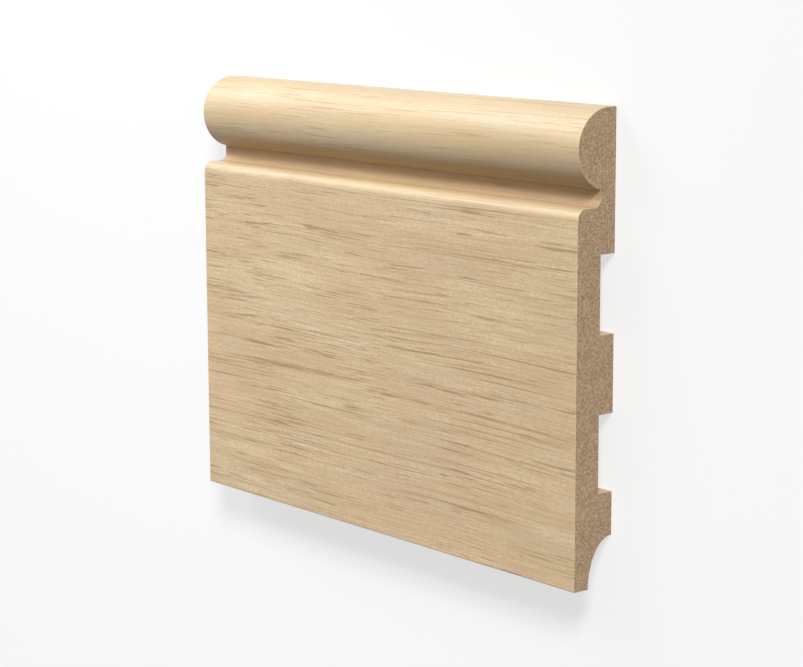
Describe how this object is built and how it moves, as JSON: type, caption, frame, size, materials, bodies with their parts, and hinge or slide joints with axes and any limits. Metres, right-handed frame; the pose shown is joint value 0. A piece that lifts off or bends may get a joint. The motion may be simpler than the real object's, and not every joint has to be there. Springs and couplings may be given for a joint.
{
  "type": "skirting board length",
  "caption": "Short length of wooden skirting board with a rounded torus edge, a quirk groove, relief channels in the back and a coved foot.",
  "frame": {"origin": "under the middle of the board, on the plane of the back lands that it lies on", "axes": "+X along the length, +Y towards the torus edge, +Z out of the moulded face"},
  "size_m": [0.194, 0.15, 0.016],
  "materials": {
    "board_wood": "satin"
  },
  "bodies": {
    "root": {"skirting_board": "board_wood"}
  },
  "joints": []
}
